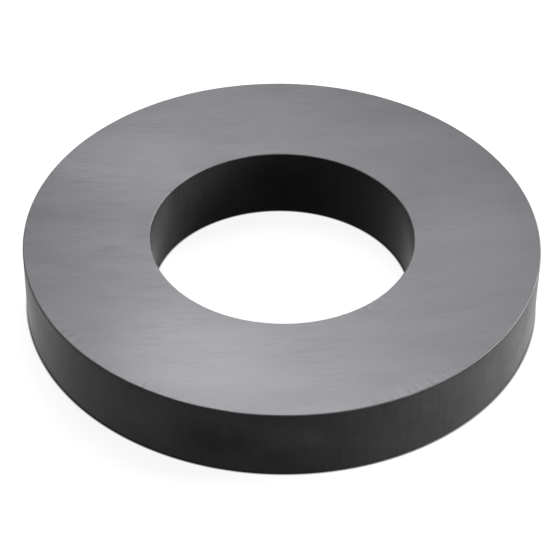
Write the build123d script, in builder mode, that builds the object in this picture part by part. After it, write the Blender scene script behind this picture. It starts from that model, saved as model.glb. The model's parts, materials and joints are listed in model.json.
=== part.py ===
from build123d import *
import os

# Ring magnet: a flat ring of sintered hard ferrite, pressed and fired as one solid piece.
#
# The frame stands on the ring's lower face: the origin is the centre of that face, +Z runs up the
# bore's axis, and the two flat faces are parallel to XY. Sizes are in millimetres.

# ---- Driving dimensions ----
outer_diameter = 102.0  # over the rim, as it shrank in the kiln
bore_diameter = 52.0  # through the middle, as it shrank in the kiln
thickness = 15.0  # between the two flat faces, which are ground to size
rim_edge_radius = 0.25  # the rim's two corners, rounded when the burr is taken off
bore_edge_radius = 0.25  # the bore's two corners, rounded in the same way

# ---- The ring ----
with BuildPart() as ferrite_ring:
    # the round blank, standing on its lower face
    with BuildSketch(Plane.XY):
        Circle(outer_diameter / 2)
    extrude(amount=thickness)

    # the straight bore, from the upper face down through the lower one
    with Locations(ferrite_ring.faces().sort_by(Axis.Z)[-1]):
        Hole(bore_diameter / 2)

    # the bore's corners are the smallest circles of the sharp ring, the rim's are the largest
    bore_corners = ferrite_ring.edges().filter_by(GeomType.CIRCLE).group_by(SortBy.RADIUS)[0]
    fillet(bore_corners, radius=bore_edge_radius)
    rim_corners = ferrite_ring.edges().filter_by(GeomType.CIRCLE).group_by(SortBy.RADIUS)[-1]
    fillet(rim_corners, radius=rim_edge_radius)

# ---- Export ----
os.makedirs("parts", exist_ok=True)
ferrite_ring.part.label = "ferrite_ring"
export_step(ferrite_ring.part, "parts/ferrite_ring.step")
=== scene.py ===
# %% [markdown]
# # A ring magnet of hard ferrite
#
# The object is one flat ring of sintered ferrite, the black ceramic that loudspeaker magnets are
# made of. Powder is pressed in a die, fired, and then only the two flat faces are ground. So one
# solid shows three finishes: flat faces ground to a matt steel grey with long faint arcs left by
# the wheel, a rim and a bore that stay near-black as they came from the kiln, and thin rounded
# corners between them where the burr was taken off.
#
# The size and place of everything come from the imported CAD part, which is loaded here as a fixed
# frame.

# %% Load the frame
import json
import math

import bpy
import numpy as np
from mathutils import Matrix, Vector


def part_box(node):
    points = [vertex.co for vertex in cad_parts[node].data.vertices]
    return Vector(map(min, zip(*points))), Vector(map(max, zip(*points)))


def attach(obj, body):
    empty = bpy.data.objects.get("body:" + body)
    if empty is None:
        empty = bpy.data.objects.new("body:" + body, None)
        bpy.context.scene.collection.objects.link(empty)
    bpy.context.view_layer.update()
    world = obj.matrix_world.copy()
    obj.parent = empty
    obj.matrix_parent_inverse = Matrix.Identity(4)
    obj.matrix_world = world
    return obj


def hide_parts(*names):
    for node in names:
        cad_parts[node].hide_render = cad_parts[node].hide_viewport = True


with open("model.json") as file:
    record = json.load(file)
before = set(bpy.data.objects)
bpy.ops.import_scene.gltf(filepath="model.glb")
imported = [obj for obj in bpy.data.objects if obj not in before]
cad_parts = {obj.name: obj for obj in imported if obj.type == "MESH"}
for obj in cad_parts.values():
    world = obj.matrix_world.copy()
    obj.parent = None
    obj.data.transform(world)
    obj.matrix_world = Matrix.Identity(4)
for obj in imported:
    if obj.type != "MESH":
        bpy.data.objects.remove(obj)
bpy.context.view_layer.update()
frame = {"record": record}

# %% [markdown]
# ## The ring's own sizes
#
# The ring's shape is worked out from four sizes. The outer radius and the thickness are the CAD
# node's box. The bore's radius and the length of its straight wall are the `bore` mount in the
# record. What the wall lacks of the full thickness is the two rounded corners, one at each end.

# %% Sizes from the frame
MM = 0.001

low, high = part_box("ferrite_ring")
bore_mount = next(m for m in frame["record"]["mounts"] if m["name"] == "bore")
rim_radius = (high.x - low.x) / 2
thickness = high.z - low.z
bore_radius = bore_mount["dims"]["r_mm"] * MM
corner_radius = (thickness - bore_mount["dims"]["length_mm"] * MM) / 2
face_centre = Vector(((low.x + high.x) / 2, (low.y + high.y) / 2, high.z))
print(f"rim {rim_radius:.4f} bore {bore_radius:.4f} thick {thickness:.4f} corner {corner_radius:.5f}")

# %% [markdown]
# ## The camera
#
# A long lens looks down on the ring from about forty degrees. Long, because the far side of the
# ring should look nearly as large as the near side. The camera is placed in units of the ring's
# outer radius from the middle of the upper face, so it would still frame a ring of another size.
# It is turned a little about its own axis, as a hand-held camera is.

# %% Camera
VIEW_ELEVATION = math.radians(40.81)
VIEW_DISTANCE = 8.606  # in outer radii, from the middle of the upper face
VIEW_RIGHT, VIEW_UP = -0.0152, -0.1655  # how far the camera stands off that line, in outer radii
VIEW_ROLL = math.radians(0.78)
LENS_MM, SENSOR_MM = 144.3, 36.0


def make_camera():
    """Creates the scene's camera and returns it."""
    back = Vector((0, -math.cos(VIEW_ELEVATION), math.sin(VIEW_ELEVATION)))
    right = Vector((1, 0, 0))
    up = back.cross(right)
    camera = bpy.data.objects.new("camera", bpy.data.cameras.new("camera"))
    bpy.context.scene.collection.objects.link(camera)
    camera.data.lens, camera.data.sensor_width = LENS_MM, SENSOR_MM
    stand = back * VIEW_DISTANCE + right * VIEW_RIGHT + up * VIEW_UP
    turn = Matrix((right, up, back)).transposed().to_4x4() @ Matrix.Rotation(VIEW_ROLL, 4, "Z")
    camera.matrix_world = Matrix.Translation(face_centre + stand * rim_radius) @ turn
    bpy.context.scene.camera = camera
    return camera


camera = make_camera()
print("camera at", tuple(round(x, 4) for x in camera.location))

# %% [markdown]
# ## A short way to write node trees
#
# Geometry and shaders are both built from nodes here, and each node takes several lines to add
# and link. This small class says it in one line: an input that is given as a socket is linked,
# and any other value is set.

# %% Node helpers
class Graph:
    """Adds nodes to one node tree, shader or geometry."""

    def __init__(self, tree):
        self.tree = tree

    def node(self, kind, inputs=None, **settings):
        """Adds one node, sets its settings, and links or sets its inputs."""
        made = self.tree.nodes.new(kind)
        for name, value in settings.items():
            setattr(made, name, value)
        for key, value in (inputs or {}).items():
            self.feed(made.inputs[key], value)
        return made

    def feed(self, socket, value):
        """Links a socket to value if that is a socket too, and otherwise sets it."""
        if isinstance(value, bpy.types.NodeSocket):
            self.tree.links.new(value, socket)
        else:
            socket.default_value = value

    def math(self, operation, *values, clamp=False):
        """The result of a Math node."""
        inputs = dict(enumerate(values))
        return self.node("ShaderNodeMath", inputs, operation=operation, use_clamp=clamp).outputs[0]

    def vector(self, operation, *values):
        """The result of a Vector Math node: a number for a length, otherwise a vector."""
        made = self.node("ShaderNodeVectorMath", dict(enumerate(values)), operation=operation)
        return made.outputs["Value" if operation == "LENGTH" else "Vector"]

    def scale(self, vector, factor):
        """A vector made longer or shorter."""
        inputs = {"Vector": vector, "Scale": factor}
        return self.node("ShaderNodeVectorMath", inputs, operation="SCALE").outputs["Vector"]

    def xyz(self, vector):
        """The three parts of a vector."""
        return self.node("ShaderNodeSeparateXYZ", {0: vector}).outputs

    def join(self, x, y, z):
        """A vector from its three parts."""
        return self.node("ShaderNodeCombineXYZ", {0: x, 1: y, 2: z}).outputs[0]

    def remap(self, value, low, high, to_low=0.0, to_high=1.0, smooth=False):
        """Value carried from one range to another and held inside it."""
        inputs = {"Value": value, 1: low, 2: high, 3: to_low, 4: to_high}
        shape = "SMOOTHSTEP" if smooth else "LINEAR"
        return self.node("ShaderNodeMapRange", inputs, interpolation_type=shape).outputs[0]

    def noise(self, vector, scale, detail=2.0, roughness=0.5):
        """The value of a Noise Texture, about 0.5 on average."""
        inputs = {"Vector": vector, "Scale": scale, "Detail": detail, "Roughness": roughness}
        return self.node("ShaderNodeTexNoise", inputs).outputs[0]

    def spread(self, noise, to_low, to_high):
        """A noise carried to a range and held inside it. Most of a noise is from 0.3 to 0.7."""
        return self.remap(noise, 0.3, 0.7, to_low, to_high)


print("node helper ready:", Graph.__name__)

# %% [markdown]
# A node group is a tree of its own that can be placed in other trees like a single node. What it
# asks for and what it gives are its sockets. They are made first, so that the nodes inside can
# be linked to them by name.

# %% Node groups
def new_tree(name, kind, inputs, outputs):
    """A node group with named sockets, each given as (name, socket type, default)."""
    tree = bpy.data.node_groups.new(name, kind)
    for direction, sockets in (("INPUT", inputs), ("OUTPUT", outputs)):
        for label, socket_type, default in sockets:
            made = tree.interface.new_socket(label, in_out=direction, socket_type=socket_type)
            if default is not None:
                made.default_value = default
    graph = Graph(tree)
    given = graph.node("NodeGroupInput").outputs
    result = graph.node("NodeGroupOutput").inputs
    return tree, graph, given, result


FLOAT, INTEGER, VECTOR = "NodeSocketFloat", "NodeSocketInt", "NodeSocketVector"
GEOMETRY, MATERIAL = "NodeSocketGeometry", "NodeSocketMaterial"
print("socket kinds:", FLOAT, INTEGER, VECTOR, GEOMETRY, MATERIAL)

# %% [markdown]
# ## Shader groups: what several finishes share
#
# The finishes of one ceramic body have much in common. Each shared effect is a node group with
# named inputs, so that every finish can use it with its own values.
#
# The first is the grain of the fired ceramic: tiny bright and dark crystals with a few pores.
# Two noises do it, one as fine as the grain and one about three times coarser that gathers it in
# flecks. Each gives half of the tone.

# %% Group: ceramic grain
FLECK_FINENESS = 0.3  # against the fineness of the grain


def make_ceramic_grain():
    """Tone and height of the fired grain, both about 0.5 on average."""
    inputs = [("Place", VECTOR, None), ("Grain Size", FLOAT, 0.2 * MM)]
    outputs = [("Tone", FLOAT, None), ("Height", FLOAT, None)]
    tree, g, given, result = new_tree("ceramic_grain", "ShaderNodeTree", inputs, outputs)
    per_metre = g.math("DIVIDE", 1.0, given["Grain Size"])
    crystals = g.noise(given["Place"], per_metre, detail=1.0)
    flecks = g.noise(given["Place"], g.math("MULTIPLY", per_metre, FLECK_FINENESS), detail=2.0)
    g.feed(result["Tone"], g.math("MULTIPLY_ADD", crystals, 0.5, g.math("MULTIPLY", flecks, 0.5)))
    g.feed(result["Height"], crystals)
    return tree


ceramic_grain = make_ceramic_grain()
print("made group", ceramic_grain.name)

# %% [markdown]
# The second is cloudiness. Kiln air, handling and wiping leave every face a little lighter or
# darker in soft patches from a few millimetres to a few centimetres across. A noise with low
# roughness does that, and its contrast is a named input.

# %% Group: clouding
def make_clouding():
    """A factor about 1 that drifts up and down in soft patches."""
    inputs = [("Place", VECTOR, None), ("Patch Size", FLOAT, 20 * MM), ("Contrast", FLOAT, 0.2)]
    outputs = [("Factor", FLOAT, None)]
    tree, g, given, result = new_tree("clouding", "ShaderNodeTree", inputs, outputs)
    per_metre = g.math("DIVIDE", 1.0, given["Patch Size"])
    drift = g.noise(given["Place"], per_metre, detail=3.0, roughness=0.45)
    centred = g.math("SUBTRACT", drift, 0.5)
    g.feed(result["Factor"], g.math("MULTIPLY_ADD", centred, given["Contrast"], 1.0))
    return tree


clouding = make_clouding()
print("made group", clouding.name)

# %% [markdown]
# The third says how far a point is from the nearer of the two flat faces, counted in corner
# radii. Grinding and rubbing reach a little way round each corner and stop there, so the body's
# grey has to give way to the kiln's black skin on the way down. Height alone says where.

# %% Group: depth
def make_depth():
    """How far a point is from the nearer flat face, in corner radii."""
    inputs = [("Place", VECTOR, None)]
    tree, g, given, result = new_tree("depth", "ShaderNodeTree", inputs, [("Depth", FLOAT, None)])
    height = g.xyz(given["Place"])[2]
    from_top = g.math("SUBTRACT", high.z, height)
    from_foot = g.math("SUBTRACT", height, low.z)
    nearer = g.math("MINIMUM", from_top, from_foot)
    g.feed(result["Depth"], g.math("DIVIDE", nearer, corner_radius))
    return tree


depth = make_depth()
print("made group", depth.name)

# %% [markdown]
# The fourth is the arcs that a grinding wheel leaves. A wheel much larger than the ring drags
# its grit across the face in shallow, nearly parallel arcs. Seen from the arcs' far centre they
# are rings, so the noise is read at the distance from that centre, finely, and at the way round
# it, coarsely. That stretches every fleck into a long thin scratch.

# %% Group: grinding arcs
def make_grinding_arcs():
    """Long thin marks on arcs about a far centre, about 0.5 on average."""
    inputs = [
        ("Place", VECTOR, None),
        ("Centre", VECTOR, None),
        ("Mark Width", FLOAT, 0.5 * MM),
        ("Mark Length", FLOAT, 12 * MM),
    ]
    tree, g, given, result = new_tree("grinding_arcs", "ShaderNodeTree", inputs, [("Mark", FLOAT, None)])
    arm = g.vector("SUBTRACT", given["Place"], given["Centre"])
    x, y, z = g.xyz(arm)
    reach = g.vector("LENGTH", g.join(x, y, 0.0))
    angle = g.math("ARCTAN2", x, g.math("ABSOLUTE", y))
    along = g.math("DIVIDE", g.math("MULTIPLY", angle, reach), given["Mark Length"])
    across = g.math("DIVIDE", reach, given["Mark Width"])
    marks = g.noise(g.join(across, along, z), 1.0, detail=2.0, roughness=0.6)
    g.feed(result["Mark"], marks)
    return tree


grinding_arcs = make_grinding_arcs()
print("made group", grinding_arcs.name)

# %% [markdown]
# The fifth is the faint upright lines on the rim and in the bore. The pressed ring is pushed out
# of its die along its axis, and hard grains score it as it goes. The noise is read at the way
# round the ring, finely, and at the height, coarsely.

# %% Group: die lines
def make_die_lines():
    """Faint lines along the axis on a round wall, about 0.5 on average."""
    inputs = [
        ("Place", VECTOR, None),
        ("Wall Radius", FLOAT, 50 * MM),
        ("Line Width", FLOAT, 0.6 * MM),
        ("Line Length", FLOAT, 15 * MM),
    ]
    tree, g, given, result = new_tree("die_lines", "ShaderNodeTree", inputs, [("Line", FLOAT, None)])
    x, y, z = g.xyz(given["Place"])
    spoke = g.vector("NORMALIZE", g.join(x, y, 0.0))
    lines_round = g.math("DIVIDE", given["Wall Radius"], given["Line Width"])
    height = g.math("DIVIDE", z, given["Line Length"])
    place = g.vector("ADD", g.scale(spoke, lines_round), g.join(0.0, 0.0, height))
    g.feed(result["Line"], g.noise(place, 1.0, detail=2.0))
    return tree


die_lines = make_die_lines()
print("made group", die_lines.name)

# %% [markdown]
# The last is a soft patch at a place of its own. Patches make a finish lighter or darker where they are
# put, and they also paint the highlight's streak on the ground face and shade on the walls. A patch is
# soft and may be ragged, so its mask is the distance from a centre, in units of its own three sizes,
# disturbed by a noise. The same group serves a long patch on a face and a round one on a wall.

# %% Group: soft patch
TATTER_SIZE = 3 * MM
PATCH_CORE, PATCH_EDGE = 0.1, 1.0  # where the mask is full and where it ends, in its sizes


def make_soft_patch():
    """1 in the middle of a patch, 0 outside it."""
    inputs = [
        ("Place", VECTOR, None),
        ("Centre", VECTOR, None),
        ("Size", VECTOR, None),
        ("Raggedness", FLOAT, 1.0),
    ]
    tree, g, given, result = new_tree("soft_patch", "ShaderNodeTree", inputs, [("Mask", FLOAT, None)])
    arm = g.vector("SUBTRACT", given["Place"], given["Centre"])
    reach = g.vector("LENGTH", g.vector("DIVIDE", arm, given["Size"]))
    ragged = g.math("SUBTRACT", g.noise(given["Place"], 1 / TATTER_SIZE, detail=3.0), 0.5)
    reach = g.math("MULTIPLY_ADD", ragged, given["Raggedness"], reach)
    g.feed(result["Mask"], g.remap(reach, PATCH_CORE, PATCH_EDGE, 1.0, 0.0, smooth=True))
    return tree


soft_patch = make_soft_patch()
print("made group", soft_patch.name)

# %% [markdown]
# ## Materials
#
# Each finish is its own material around a Principled shader. What is the same all over a
# surface, such as how much it mirrors or how far a brushed gloss is stretched, is set on the
# shader's own socket. What changes over the surface comes from the groups.
#
# Every material starts in the same way: the shader, the point on the object where it is being
# asked, and a bump that turns a height into a normal.

# %% Material helpers
def start_material(name):
    """A new material with its graph, its shader and the place on the object."""
    material = bpy.data.materials.new(name)
    material.use_nodes = True
    graph = Graph(material.node_tree)
    graph.tree.nodes.clear()
    shader = graph.node("ShaderNodeBsdfPrincipled")
    graph.node("ShaderNodeOutputMaterial", {"Surface": shader.outputs[0]})
    place = graph.node("ShaderNodeTexCoord").outputs["Object"]
    return material, graph, shader, place


def use(graph, tree, **inputs):
    """Places a group in a material. Input names are given with _ for a space."""
    node = graph.node("ShaderNodeGroup", node_tree=tree)
    for name, value in inputs.items():
        graph.feed(node.inputs[name.replace("_", " ")], value)
    return node.outputs


def tint(graph, colour, factor):
    """A plain colour made lighter or darker by a factor that changes over the surface."""
    return graph.scale(graph.join(*colour), factor)


def lay_patches(graph, place, tone, marks, raggedness):
    """Tone darkened or lightened in soft patches, each given as (centre, size, change), in mm. Some of
    them paint a highlight and some paint shade.
    """
    for centre, size, change in marks:
        where = {"Centre": Vector(centre) * MM, "Size": Vector(size) * MM}
        mask = use(graph, soft_patch, Place=place, Raggedness=raggedness, **where)["Mask"]
        tone = graph.math("MULTIPLY", tone, graph.math("MULTIPLY_ADD", mask, change, 1.0))
    return tone


def bump(graph, shader, height, depth):
    """Feeds the shader's normal from a height between 0 and 1 that stands for depth metres."""
    inputs = {"Strength": 1.0, "Distance": depth, "Height": height}
    graph.feed(shader.inputs["Normal"], graph.node("ShaderNodeBump", inputs).outputs[0])


# %% [markdown]
# ### The ground faces
#
# Grinding opens the black ceramic to a matt steel grey. Two sets of arcs cross at a small angle.
# They score the face as thin dark lines, deep in some patches and hardly there in others, and a few
# broad passes of the wheel lie under them. The marks grow shallower towards +X, as they do on a ring
# that lies a hair lower on that side. Soft patches at given places do the rest: two lighter ones at the
# front left and the back left are painted highlight along the main box's streak, and the others make the
# grey a little lighter or darker.
#
# The marks are far finer than they look, and what the eye sees is mostly a highlight drawn out
# across them. So the shader's gloss is stretched, and its tangent points across the marks. The
# finest marks can't be seen one by one, and their arcs have a centre of their own near that of
# the main marks, so the tangent runs along the spoke from there.
#
# Iron oxides shine more than glass does and less than a metal, so the shader is half metallic.
# That also lets a mark darken the gloss together with the body.

# %% Ground face
ARC_CENTRE = Vector((-30, 240, 0)) * MM
CROSS_ARC_CENTRE = Vector((25, -170, 0)) * MM
GLOSS_CENTRE = Vector((-50, 200, 0)) * MM
# each patch on the upper face: X and Y of its middle and its half sizes, in mm, then its change
FACE_PATCHES_AND_HIGHLIGHT = (
    # painted highlight: these two lighten the grey along the main box's streak
    (-15, -35, 25, 20, 0.25),
    (-35, 25, 25, 20, 0.25),
    # lighter and darker patches at given places
    (40, 0, 20, 30, 0.15),
    (30, 30, 20, 15, 0.1),
    (-46, 5, 17, 4, -0.07),
    (-46, -8, 13, 3.5, -0.07),
    (-25, 0, 7, 14, -0.1),
)
PATCH_DEPTH = 5  # in mm, too little to reach the lower face
FACE_SPOTS_AND_HIGHLIGHT = [
    ((x, y, thickness / MM), (long, wide, PATCH_DEPTH), change)
    for x, y, long, wide, change in FACE_PATCHES_AND_HIGHLIGHT
]
MAIN_SHARE = 0.7  # of the main arcs in the marks, the crossing ones give the rest
SCORED_DARK, SCORED_LIGHT = -0.12, 0.03  # what the deepest and the highest mark do to the tone
SHALLOW_BITE, DEEP_BITE = 0.15, 1.3
BITE_AT_RIM = 0.5  # on the +X side


def make_ground_face():
    """Ground ferrite: steel grey, soft stretched gloss, long faint arcs."""
    material, g, shader, place = start_material("ground_face")
    main = {"Centre": ARC_CENTRE, "Mark_Width": 0.8 * MM, "Mark_Length": 8 * MM}
    cross = {"Centre": CROSS_ARC_CENTRE, "Mark_Width": 0.5 * MM, "Mark_Length": 11 * MM}
    wide = {"Centre": ARC_CENTRE, "Mark_Width": 7 * MM, "Mark_Length": 26 * MM}
    arcs = use(g, grinding_arcs, Place=place, **main)["Mark"]
    crossing = use(g, grinding_arcs, Place=place, **cross)["Mark"]
    passes = use(g, grinding_arcs, Place=place, **wide)["Mark"]
    marks = g.math("MULTIPLY_ADD", arcs, MAIN_SHARE, g.math("MULTIPLY", crossing, 1 - MAIN_SHARE))
    grain = use(g, ceramic_grain, Place=place, Grain_Size=0.25 * MM)["Tone"]
    broad = use(g, clouding, Place=place, Patch_Size=18 * MM, Contrast=0.1)["Factor"]
    patches = use(g, clouding, Place=place, Patch_Size=14 * MM, Contrast=5.0)["Factor"]
    bite = g.remap(patches, 0.5, 1.5, SHALLOW_BITE, DEEP_BITE)
    bite = g.math("MULTIPLY", bite, g.remap(g.xyz(place)[0], 0.0, rim_radius, 1.0, BITE_AT_RIM))
    score = g.remap(marks, 0.3, 0.55, SCORED_DARK, SCORED_LIGHT)
    tone = g.math("MULTIPLY", broad, g.math("MULTIPLY_ADD", score, bite, 1.0))
    tone = g.math("MULTIPLY", tone, g.spread(passes, 0.94, 1.06))
    tone = g.math("MULTIPLY", tone, g.spread(grain, 0.97, 1.03))
    # patches on the face, two of them painted highlight along the streak
    tone = lay_patches(g, place, tone, FACE_SPOTS_AND_HIGHLIGHT, raggedness=0.25)
    g.feed(shader.inputs["Base Color"], tint(g, (0.139, 0.140, 0.149), tone))
    g.feed(shader.inputs["Roughness"], g.spread(marks, 0.29, 0.36))
    shader.inputs["Metallic"].default_value = 0.5
    shader.inputs["Anisotropic"].default_value = 0.75
    across = g.vector("NORMALIZE", g.vector("SUBTRACT", place, GLOSS_CENTRE))
    g.feed(shader.inputs["Tangent"], across)
    bump(g, shader, marks, 0.004 * MM)
    return material


ground_face = make_ground_face()
print("made", ground_face.name)

# %% [markdown]
# ### The walls as fired
#
# The rim and the bore keep the kiln's skin, smooth and nearly black. Seen straight on they
# mirror almost nothing, and at a glancing angle much more, which the shader does by itself.
#
# One function makes both, because they differ only in their numbers. Patches at given places make each
# wall darker or lighter, and some of them are painted shade: the foot of the rim's front and the back of
# the bore. The bore's skin is also darker and mirrors less than the rim's, which paints the shade inside
# the bore. Where the skin is lighter it is also a little glossier.

# %% Fired walls
# patches on the rim: middle and half sizes, in mm, then the change
RIM_PATCHES_AND_SHADE = (
    # a darker patch left of the front's middle
    ((-12, -49, 7), (12, 8, 6.5), -0.97),
    # painted shade: the front's middle is lighter above and darker towards the foot
    ((1, -51, 9.5), (11, 8, 5), 0.75),
    ((-1, -51, 4), (3, 6, 3), -0.4),
    # a lighter patch further left
    ((-24, -45, 8), (10, 8, 8), 0.6),
)
# painted shade: the back of the bore darkened in the middle, most towards the foot, where little light
# gets in
BORE_PAINTED_SHADE = (((3, 26, 5), (12, 8, 11), -0.95),)
ROUGHER, SMOOTHER = 0.06, 0.04  # how far the roughness goes up in the dark and down in the light


def make_fired_wall(name, wall_radius, colour, ior, roughness, line_contrast, shade_and_patches):
    """As-fired ferrite: near-black, with faint die lines, soft clouds and the given patches, some of
    them painted shade.
    """
    material, g, shader, place = start_material(name)
    lines = use(g, die_lines, Place=place, Wall_Radius=wall_radius)["Line"]
    grain = use(g, ceramic_grain, Place=place, Grain_Size=0.35 * MM)
    broad = use(g, clouding, Place=place, Patch_Size=9 * MM, Contrast=1.0)["Factor"]
    tone = g.math("MULTIPLY", broad, g.spread(lines, 1 - line_contrast, 1 + line_contrast))
    tone = g.math("MULTIPLY", tone, g.spread(grain["Tone"], 0.85, 1.15))
    tone = lay_patches(g, place, tone, shade_and_patches, raggedness=1.0)
    g.feed(shader.inputs["Base Color"], tint(g, colour, tone))
    rough = g.remap(tone, 0.6, 1.3, roughness + ROUGHER, roughness - SMOOTHER)
    g.feed(shader.inputs["Roughness"], rough)
    shader.inputs["IOR"].default_value = ior
    bump(g, shader, grain["Height"], 0.006 * MM)
    return material


fired_rim = make_fired_wall(
    "fired_rim",
    rim_radius,
    colour=(0.040, 0.040, 0.0406),
    ior=1.19,
    roughness=0.34,
    line_contrast=0.08,
    shade_and_patches=RIM_PATCHES_AND_SHADE,
)
fired_bore = make_fired_wall(
    "fired_bore",
    bore_radius,
    # darker and less mirroring than the rim's skin: painted shade inside the bore
    colour=(0.021, 0.021, 0.0213),
    ior=1.12,
    roughness=0.30,
    line_contrast=0.15,
    shade_and_patches=BORE_PAINTED_SHADE,
)
print("made", fired_rim.name, fired_bore.name)

# %% [markdown]
# ### The corners
#
# Where the burr was rubbed off, the body shows. Next to the flat face it is about as bright as
# ground ferrite, and it fades into the black skin where the corner turns into the wall.

# %% Rounded corners
RUBBED_TO, SKIN_FROM = 0.2, 0.9  # how far down, in corner radii
SKIN_TONE = 0.15  # against the rubbed body's


def make_rubbed_corner():
    """The rubbed corners: grey towards the face, black towards the wall."""
    material, g, shader, place = start_material("rubbed_corner")
    grain = use(g, ceramic_grain, Place=place, Grain_Size=0.3 * MM)
    broad = use(g, clouding, Place=place, Patch_Size=6 * MM, Contrast=0.8)["Factor"]
    tone = g.math("MULTIPLY", broad, g.spread(grain["Tone"], 0.85, 1.15))
    way_down = use(g, depth, Place=place)["Depth"]
    fade = g.remap(way_down, RUBBED_TO, SKIN_FROM, 1.0, SKIN_TONE, smooth=True)
    tone = g.math("MULTIPLY", tone, fade)
    g.feed(shader.inputs["Base Color"], tint(g, (0.19, 0.19, 0.196), tone))
    shader.inputs["Metallic"].default_value = 0.2
    shader.inputs["IOR"].default_value = 1.3
    shader.inputs["Roughness"].default_value = 0.6
    bump(g, shader, grain["Height"], 0.01 * MM)
    return material


rubbed_corner = make_rubbed_corner()
print("made", rubbed_corner.name)

# %% [markdown]
# ## The ring's shape
#
# A turned ring follows one rule: a rounded rectangle swept round a circle. Geometry Nodes say it
# in so many words, with every size as a named input: a rectangle for the section, cut into rows,
# its corners filleted, swept along a circle. Then two small truths of a fired ring are added.
# Its walls aren't quite round, because it shrinks by a sixth in the kiln, and its corners are
# rubbed a little more here and there. Both only take material away, so the ring stays inside
# the size that it was made to.
#
# The tree is made in four short steps. The first is the section and the sweep.

# %% Ring tree: section and sweep
def is_corner(g, place, width, height):
    """1 at the section's four corner points, 0 elsewhere: x times y is largest there."""
    x, y, _ = g.xyz(place)
    reach = g.math("ABSOLUTE", g.math("MULTIPLY", x, y))
    quarter = g.math("MULTIPLY", g.math("MULTIPLY", width, height), 0.25)
    return g.math("COMPARE", reach, quarter, g.math("MULTIPLY", quarter, 0.001))


def sweep_section(g, given):
    """The plain turned ring, its middle at the origin's height."""
    width = g.math("SUBTRACT", given["Rim Radius"], given["Bore Radius"])
    middle = g.math("MULTIPLY_ADD", width, 0.5, given["Bore Radius"])
    section = g.node(
        "GeometryNodeCurvePrimitiveQuadrilateral", {"Width": width, "Height": given["Thickness"]}
    ).outputs[0]
    on_wall = g.math("MODULO", g.node("GeometryNodeInputIndex").outputs[0], 2.0)
    more_rows = g.math("SUBTRACT", given["Wall Rows"], given["Face Rows"])
    rows = g.math("MULTIPLY_ADD", on_wall, more_rows, given["Face Rows"])
    section = g.node("GeometryNodeSubdivideCurve", {"Curve": section, "Cuts": rows}).outputs[0]
    place = g.node("GeometryNodeInputPosition").outputs[0]
    corner = is_corner(g, place, width, given["Thickness"])
    section = g.node(
        "GeometryNodeFilletCurve",
        {
            "Curve": section,
            "Count": given["Corner Steps"],
            "Radius": g.math("MULTIPLY", corner, given["Corner Radius"]),
        },
        mode="POLY",
    ).outputs[0]
    path = g.node(
        "GeometryNodeCurvePrimitiveCircle", {"Resolution": given["Stations"], "Radius": middle}
    ).outputs[0]
    path = g.node("GeometryNodeSetCurveNormal", {"Curve": path}, mode="Z_UP").outputs[0]
    return g.node("GeometryNodeCurveToMesh", {"Curve": path, "Profile Curve": section}).outputs[0]


# %% [markdown]
# The second step bends the walls. A point moves along its own spoke, the rim inwards and the
# bore outwards, by a slow noise. Across the flat faces the move fades from one wall to the
# other, so the faces stay flat, and every section keeps its shape.

# %% Ring tree: kiln shrinkage
SWELLS_PER_METRE = 25.0


def shrink_unevenly(g, given, mesh):
    """Moves the walls along their spokes by up to Unroundness, into the ceramic."""
    place = g.node("GeometryNodeInputPosition").outputs[0]
    x, y, _ = g.xyz(place)
    flat = g.join(x, y, 0.0)
    radius = g.vector("LENGTH", flat)
    side = g.remap(radius, given["Bore Radius"], given["Rim Radius"], 1.0, -1.0)
    seeded = g.vector("ADD", place, g.join(given["Seed"], 0.0, 0.0))
    drift = g.noise(seeded, SWELLS_PER_METRE, detail=2.0)
    amount = g.math("MULTIPLY", g.math("MULTIPLY", side, drift), given["Unroundness"])
    offset = g.scale(g.vector("NORMALIZE", flat), amount)
    return g.node("GeometryNodeSetPosition", {"Geometry": mesh, "Offset": offset}).outputs[0]


# %% [markdown]
# The third step rubs the corners. A mask picks what lies within two corner radii of a corner,
# and a fine noise says how much is gone there. Squaring the noise makes most of the edge nearly
# perfect and leaves a few spots that are rubbed deeper.

# %% Ring tree: rubbed corners
SPOTS_PER_METRE = 900.0
RUBBED_REACH = 2.0  # in corner radii


def rub_corners(g, given, mesh):
    """Takes a little off the corners, unevenly, along the surface's own normal."""
    place = g.node("GeometryNodeInputPosition").outputs[0]
    x, y, z = g.xyz(place)
    radius = g.vector("LENGTH", g.join(x, y, 0.0))
    to_rim = g.math("SUBTRACT", given["Rim Radius"], radius)
    to_bore = g.math("SUBTRACT", radius, given["Bore Radius"])
    half = g.math("MULTIPLY", given["Thickness"], 0.5)
    to_face = g.math("SUBTRACT", half, g.math("ABSOLUTE", z))
    reach = g.math("MAXIMUM", g.math("MINIMUM", to_rim, to_bore), to_face)
    limit = g.math("MULTIPLY", given["Corner Radius"], RUBBED_REACH)
    mask = g.remap(reach, 0.0, limit, 1.0, 0.0, smooth=True)
    seeded = g.vector("ADD", place, g.join(0.0, given["Seed"], 0.0))
    wear = g.math("POWER", g.noise(seeded, SPOTS_PER_METRE, detail=3.0), 2.0)
    amount = g.math("MULTIPLY", g.math("MULTIPLY", mask, wear), given["Corner Wear"])
    normal = g.node("GeometryNodeInputNormal").outputs[0]
    offset = g.scale(normal, g.math("MULTIPLY", amount, -1.0))
    return g.node("GeometryNodeSetPosition", {"Geometry": mesh, "Offset": offset}).outputs[0]


# %% [markdown]
# The last step stands the ring on its lower face and gives each kind of face its finish. A face
# whose normal is nearly upright is ground, one whose normal is nearly level is a wall, and what
# lies between is a corner. The normals are noted on the plain ring, before it is bent and rubbed,
# so that wear can't change a face's finish. Flat faces are shaded flat, so that the corners'
# rounding doesn't leak into them.

# %% Ring tree: finishes
FLAT_ABOVE, WALL_BELOW = 0.999, 0.05  # how upright the normal is


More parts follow.
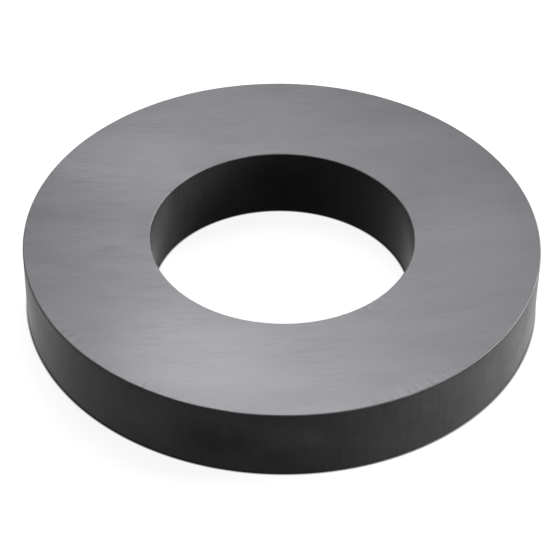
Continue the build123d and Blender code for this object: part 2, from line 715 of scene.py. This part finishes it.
def note_upright(g, mesh):
    """Notes on each face how upright its normal is: 1 on a flat face, 0 on a wall."""
    _, _, upright = g.xyz(g.node("GeometryNodeInputNormal").outputs[0])
    note = g.node("GeometryNodeCaptureAttribute", domain="FACE")
    note.capture_items.new("FLOAT", "Upright")
    g.feed(note.inputs["Geometry"], mesh)
    g.feed(note.inputs["Upright"], g.math("ABSOLUTE", upright))
    return note.outputs["Geometry"], note.outputs["Upright"]


def give_finishes(g, given, mesh, upright):
    """Stands the ring up, sets its shading and its four materials."""
    lift = g.join(0.0, 0.0, g.math("MULTIPLY", given["Thickness"], 0.5))
    mesh = g.node("GeometryNodeSetPosition", {"Geometry": mesh, "Offset": lift}).outputs[0]
    is_flat = g.math("GREATER_THAN", upright, FLAT_ABOVE)
    is_wall = g.math("LESS_THAN", upright, WALL_BELOW)
    x, y, _ = g.xyz(g.node("GeometryNodeInputPosition").outputs[0])
    radius = g.vector("LENGTH", g.join(x, y, 0.0))
    middle = g.math("MULTIPLY", g.math("ADD", given["Rim Radius"], given["Bore Radius"]), 0.5)
    is_outer = g.math("GREATER_THAN", radius, middle)
    finishes = (
        ("Corner Finish", True),
        ("Bore Finish", is_wall),
        ("Rim Finish", g.math("MULTIPLY", is_wall, is_outer)),
        ("Face Finish", is_flat),
    )
    round_part = g.math("SUBTRACT", 1.0, is_flat)
    mesh = g.node(
        "GeometryNodeSetShadeSmooth", {"Geometry": mesh, "Shade Smooth": round_part}
    ).outputs[0]
    mesh = g.node("GeometryNodeRealizeInstances", {"Geometry": mesh}).outputs[0]
    for name, chosen in finishes:
        inputs = {"Geometry": mesh, "Selection": chosen, "Material": given[name]}
        mesh = g.node("GeometryNodeSetMaterial", inputs).outputs[0]
    return mesh


# %% [markdown]
# Now the steps are put together. The tree's inputs are the ring's sizes, how finely it is cut,
# how uneven and worn it is, and its four finishes.

# %% Ring tree: all of it
def make_ring_tree():
    """The whole tree, from named sizes to a finished ring."""
    inputs = [
        ("Geometry", GEOMETRY, None),
        ("Rim Radius", FLOAT, 50 * MM),
        ("Bore Radius", FLOAT, 25 * MM),
        ("Thickness", FLOAT, 15 * MM),
        ("Corner Radius", FLOAT, 0.25 * MM),
        ("Stations", INTEGER, 840),
        ("Face Rows", INTEGER, 5),
        ("Wall Rows", INTEGER, 20),
        ("Corner Steps", INTEGER, 7),
        ("Unroundness", FLOAT, 0.0),
        ("Corner Wear", FLOAT, 0.0),
        ("Seed", FLOAT, 0.0),
        ("Face Finish", MATERIAL, None),
        ("Rim Finish", MATERIAL, None),
        ("Bore Finish", MATERIAL, None),
        ("Corner Finish", MATERIAL, None),
    ]
    tree, g, given, result = new_tree(
        "turned_ring", "GeometryNodeTree", inputs, [("Geometry", GEOMETRY, None)]
    )
    mesh, upright = note_upright(g, sweep_section(g, given))
    mesh = shrink_unevenly(g, given, mesh)
    mesh = rub_corners(g, given, mesh)
    g.feed(result["Geometry"], give_finishes(g, given, mesh, upright))
    return tree


ring_tree = make_ring_tree()
print("ring tree has", len(ring_tree.nodes), "nodes")

# %% [markdown]
# ## The ring itself
#
# The tree runs once on an empty object with this ring's sizes. What it makes is copied out as a
# plain mesh, and the plain mesh is the piece.

# %% Make the ring
def set_input(modifier, tree, name, value):
    """Sets a modifier's input by its name in the tree."""
    item = next(i for i in tree.interface.items_tree if i.name == name and i.in_out == "INPUT")
    modifier[item.identifier] = value


def make_ring():
    """Runs the tree and returns the ring as a plain mesh object."""
    maker = bpy.data.objects.new("ring_maker", bpy.data.meshes.new("ring_maker"))
    bpy.context.scene.collection.objects.link(maker)
    modifier = maker.modifiers.new("ring", "NODES")
    modifier.node_group = ring_tree
    sizes = {
        "Rim Radius": rim_radius,
        "Bore Radius": bore_radius,
        "Thickness": thickness,
        "Corner Radius": corner_radius,
        "Unroundness": 0.05 * MM,
        "Corner Wear": 0.12 * MM,
        "Seed": 4.0,
        "Face Finish": ground_face,
        "Rim Finish": fired_rim,
        "Bore Finish": fired_bore,
        "Corner Finish": rubbed_corner,
    }
    for name, value in sizes.items():
        set_input(modifier, ring_tree, name, value)
    settled = maker.evaluated_get(bpy.context.evaluated_depsgraph_get())
    mesh = bpy.data.meshes.new_from_object(settled)
    maker.modifiers.remove(modifier)
    bpy.data.objects.remove(maker)
    mesh.name = "magnet_ring"
    ring = bpy.data.objects.new("magnet_ring", mesh)
    bpy.context.scene.collection.objects.link(ring)
    return ring


ring = make_ring()
print(ring.name, len(ring.data.polygons), "faces", [m.name for m in ring.data.materials])

# %% [markdown]
# ## The ring unrolled
#
# A game or a web page knows a finish only as flat pictures, and it takes the direction of a stretched
# gloss from the way the picture lies. So the skin is laid out: the two faces as discs, turned so that
# the picture's width runs across the grinding marks, and the walls and corners as straight strips above
# them. The rim is twice as long as the bore, so it has two.
#
# First the mesh is read into arrays with one entry for each corner of each face.

# %% Read the ring
def read_corners(mesh):
    """For each corner of each face: its place, its face's middle and its finish's name."""
    spots = np.empty(len(mesh.vertices) * 3)
    mesh.vertices.foreach_get("co", spots)
    owners = np.empty(len(mesh.loops), np.int32)
    mesh.loops.foreach_get("vertex_index", owners)
    counts = np.empty(len(mesh.polygons), np.int32)
    mesh.polygons.foreach_get("loop_total", counts)
    finish = np.empty(len(mesh.polygons), np.int32)
    mesh.polygons.foreach_get("material_index", finish)
    centres = np.empty(len(mesh.polygons) * 3)
    mesh.polygons.foreach_get("center", centres)
    places = spots.reshape(-1, 3)[owners]
    middles = np.repeat(centres.reshape(-1, 3), counts, axis=0)
    names = np.array([m.name for m in mesh.materials])[np.repeat(finish, counts)]
    return places, middles, names


places, middles, names = read_corners(ring.data)
print(len(places), "corners of faces")

# %% [markdown]
# Each kind of finish has its own rule. On the square, the two discs lie below, then the rim's two
# strips, the bore's strip, and the four corners' strips on top.

# %% Unroll the ring
DISC_SPAN = 0.48
UPPER_DISC, LOWER_DISC, DISC_HEIGHT = 0.25, 0.75, 0.25  # the discs' centres
STRIP_LEFT, STRIP_WIDTH = 0.01, 0.98
RIM_STRIPS = (0.52, 0.62)
BORE_STRIP = 0.72
WALL_STRIP_HEIGHT = 0.08
CORNER_STRIPS, CORNER_STRIP_STEP, CORNER_STRIP_HEIGHT = 0.83, 0.04, 0.03
WORN_MARGIN = 0.1  # how far past its strip a worn corner may lie, in strip heights


def unroll(places, middles, names):
    """The place of every face corner on a flat square: discs below, strips above."""
    x, y, z = places.T
    centre_x, centre_y, centre_z = middles.T

    # the way round, 0 to 1, without a jump inside a face
    centre_angle = np.arctan2(centre_y, centre_x)
    past_centre = np.arctan2(y, x) - centre_angle
    past_centre -= 2 * np.pi * np.round(past_centre / (2 * np.pi))
    turn = np.clip((centre_angle + past_centre) / (2 * np.pi) + 0.5, 0, 1)
    outer = np.hypot(centre_x, centre_y) > (rim_radius + bore_radius) / 2
    upper = centre_z > thickness / 2
    second_half = centre_angle > 0

    # the discs: width runs across the grinding marks, which lie nearly along X
    per_metre = DISC_SPAN / (2 * rim_radius)
    disc_u = np.where(upper, UPPER_DISC, LOWER_DISC) + y * per_metre
    disc_v = DISC_HEIGHT + np.where(upper, -x, x) * per_metre

    # the walls: the rim in two strips of half a turn, the bore in one
    up_wall = np.clip(z / thickness, 0, 1) * WALL_STRIP_HEIGHT
    rim_u = 2 * turn - second_half
    rim_v = np.where(second_half, RIM_STRIPS[1], RIM_STRIPS[0]) + up_wall

    # the corners: four strips, each unrolled from its face towards its wall
    radius = np.hypot(x, y)
    from_wall = np.where(outer, rim_radius - radius, radius - bore_radius)
    from_face = np.where(upper, thickness - z, z)
    down = (from_face + corner_radius - from_wall) / (2 * corner_radius)
    down = np.clip(down, -WORN_MARGIN, 1 + WORN_MARGIN)
    corner_row = CORNER_STRIPS + CORNER_STRIP_STEP * (2 * outer + upper)
    corner_v = corner_row + np.where(upper, 1 - down, down) * CORNER_STRIP_HEIGHT
    corner_u = np.where(outer, turn, 1 - turn)

    kinds = [names == ground_face.name, names == fired_rim.name, names == fired_bore.name]
    strip_u = np.select(kinds[1:], [rim_u, 1 - turn], corner_u) * STRIP_WIDTH + STRIP_LEFT
    u = np.where(kinds[0], disc_u, strip_u)
    v = np.select(kinds, [disc_v, rim_v, BORE_STRIP + up_wall], corner_v)
    return u, v


u, v = unroll(places, middles, names)
layout = ring.data.uv_layers.new(name="OFBake")
layout.data.foreach_set("uv", np.column_stack((u, v)).ravel())
print(f"laid out from {u.min():.3f} to {u.max():.3f} across, {v.min():.3f} to {v.max():.3f} up")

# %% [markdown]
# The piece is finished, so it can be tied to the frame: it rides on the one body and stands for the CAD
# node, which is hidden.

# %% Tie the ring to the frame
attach(ring, "root")
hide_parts("ferrite_ring")
print(ring.name, "stands for ferrite_ring")

# %% [markdown]
# ## The floor and the light
#
# The ring lies on a seamless white sweep. The floor is a plain grey disc that takes the ring's
# shadow. A glow, which only the eye and mirrored rays see, lifts it to white where no shadow
# falls, so no extra light has to reach the ring for that. The glow is a little stronger far out,
# where the lamps don't reach, so that floor and room meet without a line. It is nothing under
# the ring and dies out a third of a millimetre from it, because no light gets in where the two
# meet. That leaves the thin dark line that makes a heavy thing look set down.

# %% Floor
FLOOR_RADIUS = 40 * rim_radius
FLOOR_TONE = 0.3
FLOOR_GLOW, FLOOR_GLOW_TO = 0.90, 3 * rim_radius
FAR_GLOW, FAR_GLOW_FROM = 0.97, 15 * rim_radius
GLOW_FADE = 0.35 * MM


def seen_directly(g):
    """1 for rays from the eye, from a gloss or through glass, 0 for the rays that light."""
    path = g.node("ShaderNodeLightPath").outputs
    kinds = g.math("ADD", path["Is Camera Ray"], path["Is Glossy Ray"])
    return g.math("ADD", kinds, path["Is Transmission Ray"], clamp=True)


def clear_of_ring(g, radius):
    """0 under the ring, 1 on the open floor, with a short fade between."""
    past_rim = g.math("SUBTRACT", radius, rim_radius)
    past_bore = g.math("SUBTRACT", bore_radius, radius)
    return g.remap(g.math("MAXIMUM", past_rim, past_bore), 0.0, GLOW_FADE)


def make_floor():
    """The sweep: a grey disc that its glow lifts to white, just under the ring."""
    bpy.ops.mesh.primitive_circle_add(vertices=128, radius=FLOOR_RADIUS, fill_type="NGON")
    floor = bpy.context.object
    floor.name = "floor"
    floor.location.z = low.z
    material = bpy.data.materials.new("white_sweep")
    material.use_nodes = True
    g = Graph(material.node_tree)
    g.tree.nodes.clear()
    grey = (FLOOR_TONE, FLOOR_TONE, FLOOR_TONE, 1.0)
    paper = g.node("ShaderNodeBsdfDiffuse", {"Color": grey}).outputs[0]
    radius = g.vector("LENGTH", g.node("ShaderNodeTexCoord").outputs["Object"])
    glow = g.remap(radius, FLOOR_GLOW_TO, FAR_GLOW_FROM, FLOOR_GLOW, FAR_GLOW)
    glow = g.math("MULTIPLY", clear_of_ring(g, radius), glow)
    strength = g.math("MULTIPLY", seen_directly(g), glow)
    shine = g.node("ShaderNodeEmission", {"Strength": strength}).outputs[0]
    both = g.node("ShaderNodeAddShader", {0: paper, 1: shine}).outputs[0]
    g.node("ShaderNodeOutputMaterial", {"Surface": both})
    floor.data.materials.append(material)
    return floor


floor = make_floor()
print("made", floor.name, "of radius", round(FLOOR_RADIUS, 3))

# %% [markdown]
# The light is a plain studio's: a room with white walls and a dim ceiling, and three soft boxes.
# The boxes are alike and equally far off. Each is placed by where it stands as seen from the
# ring: the way round and the height above the floor. Its power is worked out from how bright it
# should make white paper that faces it, so moving a box doesn't change the exposure. The ground
# face shows the main box as one soft streak across its marks, as brushed things do, because that
# box hangs behind the ring and steeper than the eye looks down.

# %% Room and soft boxes
# where the white walls end and the full dim ceiling starts, as sines of the height
WALL_TOP, CEILING_START = math.sin(math.radians(10)), math.sin(math.radians(35))
BOX_DISTANCE, BOX_SIZE = 0.9, 0.4


def make_room(light, ceiling):
    """The world: a grey level for the rays that light, and a room for the eye and for gloss."""
    world = bpy.data.worlds.new("room")
    bpy.context.scene.world = world
    world.use_nodes = True
    g = Graph(world.node_tree)
    g.tree.nodes.clear()
    _, _, upward = g.xyz(g.node("ShaderNodeTexCoord").outputs["Generated"])
    wall = g.remap(upward, WALL_TOP, CEILING_START, 1.0, ceiling, smooth=True)
    seen = g.math("MULTIPLY", seen_directly(g), g.math("SUBTRACT", wall, light))
    strength = g.math("ADD", seen, light)
    background = g.node("ShaderNodeBackground", {"Strength": strength}).outputs[0]
    background.node.inputs["Color"].default_value = (1.0, 1.0, 1.0, 1.0)
    g.node("ShaderNodeOutputWorld", {"Surface": background})


def make_soft_box(name, heading, height, brightness):
    """A square lamp. heading is in degrees from +X towards +Y, height in degrees above the floor."""
    turn, rise = math.radians(heading), math.radians(height)
    aim = Vector((math.cos(turn) * math.cos(rise), math.sin(turn) * math.cos(rise), math.sin(rise)))
    lamp = bpy.data.objects.new(name, bpy.data.lights.new(name, "AREA"))
    bpy.context.scene.collection.objects.link(lamp)
    lamp.data.shape, lamp.data.size = "SQUARE", BOX_SIZE
    lamp.data.energy = brightness * (math.pi * BOX_DISTANCE) ** 2
    lamp.location = face_centre + aim * BOX_DISTANCE
    lamp.rotation_mode = "QUATERNION"
    lamp.rotation_quaternion = aim.to_track_quat("Z", "Y")
    return lamp


make_room(light=0.12, ceiling=0.3)
key = make_soft_box("key_box", heading=100, height=65, brightness=0.32)
back = make_soft_box("back_box", heading=80, height=55, brightness=0.22)
side = make_soft_box("side_box", heading=8, height=12, brightness=1.85)
print("soft boxes:", key.name, back.name, side.name)

# %% [markdown]
# ## Finish
#
# Colours are shown as they are, with no film look over them.

# %% Finish
bpy.context.scene.view_settings.view_transform = "Standard"
